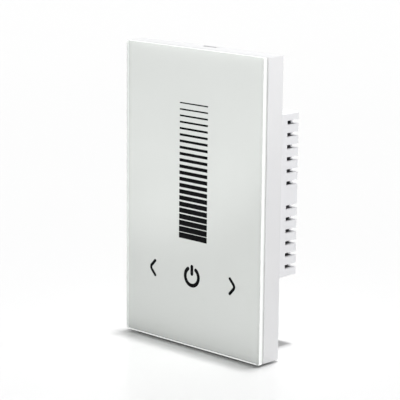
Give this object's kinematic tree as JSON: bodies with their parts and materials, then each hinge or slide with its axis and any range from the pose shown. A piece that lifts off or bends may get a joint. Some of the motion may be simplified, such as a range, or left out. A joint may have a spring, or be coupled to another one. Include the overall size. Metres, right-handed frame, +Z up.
{
  "type": "touch dimmer switch",
  "caption": "Wall-mounted touch dimmer with a flat glass front, a printed level bar and touch keys, a white frame, a mounting plate and a vented rear box with screw terminals.",
  "frame": {"origin": "middle of the width and depth of the whole, at the lower edge it stands on", "axes": "+Z up along the panel's long side, +Y from the glass front towards the rear box, +X along the panel's short side"},
  "size_m": [0.074, 0.036, 0.12],
  "materials": {
    "pane": "polished glass, printed on its back in pale grey-green",
    "frame_plastic": "smooth white moulded plastic",
    "circuit_board": "green solder mask",
    "spring_steel": "bright wire",
    "lamp": "clear resin",
    "chip": "matt black moulding",
    "connector_plastic": "satin black moulding",
    "plated_steel": "zinc plated",
    "plate_steel": "zinc plated pressed sheet",
    "clip_steel": "tempered strip",
    "box_plastic": "fine satin white moulded plastic",
    "capacitor_sleeve": "sleeved can",
    "ferrite": "matt sintered ferrite",
    "copper_wire": "lacquered copper wire",
    "black_aluminium": "black anodised",
    "terminal_plastic": "satin black moulding",
    "tinned_brass": "tinned",
    "terminal_screw_steel": "nickel plated"
  },
  "bodies": {
    "base": {"power_board": "circuit_board", "transistor_1": "chip", "transistor_2": "chip", "link_header": "connector_plastic", "housing_screw_1": "plated_steel", "housing_screw_2": "plated_steel", "housing_screw_3": "plated_steel", "housing_screw_4": "plated_steel", "power_board_screw_1": "plated_steel", "power_board_screw_2": "plated_steel", "mounting_plate": "plate_steel", "panel_clip_1": "clip_steel", "panel_clip_2": "clip_steel", "panel_clip_3": "clip_steel", "panel_clip_4": "clip_steel", "rear_housing": "box_plastic", "capacitor_1": "capacitor_sleeve", "capacitor_2": "capacitor_sleeve", "choke_core": "ferrite", "choke_winding": "copper_wire", "heat_sink": "black_aluminium", "terminal_block": "terminal_plastic", "contact_pin_1": "tinned_brass", "contact_pin_2": "tinned_brass", "contact_pin_3": "tinned_brass", "contact_pin_4": "tinned_brass"},
    "front_panel": {"glass_panel": "pane", "front_frame": "frame_plastic", "touch_board": "circuit_board", "key_spring_left": "spring_steel", "key_spring_power": "spring_steel", "key_spring_right": "spring_steel", "slider_spring_1": "spring_steel", "slider_spring_2": "spring_steel", "slider_spring_3": "spring_steel", "slider_spring_4": "spring_steel", "slider_spring_5": "spring_steel", "power_led": "lamp", "touch_controller": "chip", "link_socket": "connector_plastic", "touch_board_screw_1": "plated_steel", "touch_board_screw_2": "plated_steel", "touch_board_screw_3": "plated_steel", "touch_board_screw_4": "plated_steel"},
    "screw_1": {"terminal_screw_1": "terminal_screw_steel"},
    "clamp_1": {"wire_clamp_1": "tinned_brass"},
    "screw_2": {"terminal_screw_2": "terminal_screw_steel"},
    "clamp_2": {"wire_clamp_2": "tinned_brass"},
    "screw_3": {"terminal_screw_3": "terminal_screw_steel"},
    "clamp_3": {"wire_clamp_3": "tinned_brass"},
    "screw_4": {"terminal_screw_4": "terminal_screw_steel"},
    "clamp_4": {"wire_clamp_4": "tinned_brass"}
  },
  "joints": [
    {"name": "front_panel_pull", "type": "slide", "parent": "base", "child": "front_panel", "axis": [0, -1, 0], "range_m": [0, 0.012], "deforming": ["panel_clip_1", "panel_clip_2", "panel_clip_3", "panel_clip_4"]},
    {"name": "terminal_screw_turn_1", "type": "hinge", "parent": "base", "child": "screw_1", "pos_m": [-0.01125, 0.0148, 0.03295], "axis": [0, -1, 0], "range_deg": [0, 1440]},
    {"name": "wire_clamp_rise_1", "type": "slide", "parent": "base", "child": "clamp_1", "axis": [0, 1, 0], "range_m": [0, 0.002]},
    {"name": "terminal_screw_turn_2", "type": "hinge", "parent": "base", "child": "screw_2", "pos_m": [-0.00375, 0.0148, 0.03295], "axis": [0, -1, 0], "range_deg": [0, 1440]},
    {"name": "wire_clamp_rise_2", "type": "slide", "parent": "base", "child": "clamp_2", "axis": [0, 1, 0], "range_m": [0, 0.002]},
    {"name": "terminal_screw_turn_3", "type": "hinge", "parent": "base", "child": "screw_3", "pos_m": [0.00375, 0.0148, 0.03295], "axis": [0, -1, 0], "range_deg": [0, 1440]},
    {"name": "wire_clamp_rise_3", "type": "slide", "parent": "base", "child": "clamp_3", "axis": [0, 1, 0], "range_m": [0, 0.002]},
    {"name": "terminal_screw_turn_4", "type": "hinge", "parent": "base", "child": "screw_4", "pos_m": [0.01125, 0.0148, 0.03295], "axis": [0, -1, 0], "range_deg": [0, 1440]},
    {"name": "wire_clamp_rise_4", "type": "slide", "parent": "base", "child": "clamp_4", "axis": [0, 1, 0], "range_m": [0, 0.002]}
  ],
  "couplings": [
    {"joint": "terminal_screw_turn_1", "follows": "wire_clamp_rise_1", "rad_per_m": 12566},
    {"joint": "terminal_screw_turn_2", "follows": "wire_clamp_rise_2", "rad_per_m": 12566},
    {"joint": "terminal_screw_turn_3", "follows": "wire_clamp_rise_3", "rad_per_m": 12566},
    {"joint": "terminal_screw_turn_4", "follows": "wire_clamp_rise_4", "rad_per_m": 12566}
  ]
}
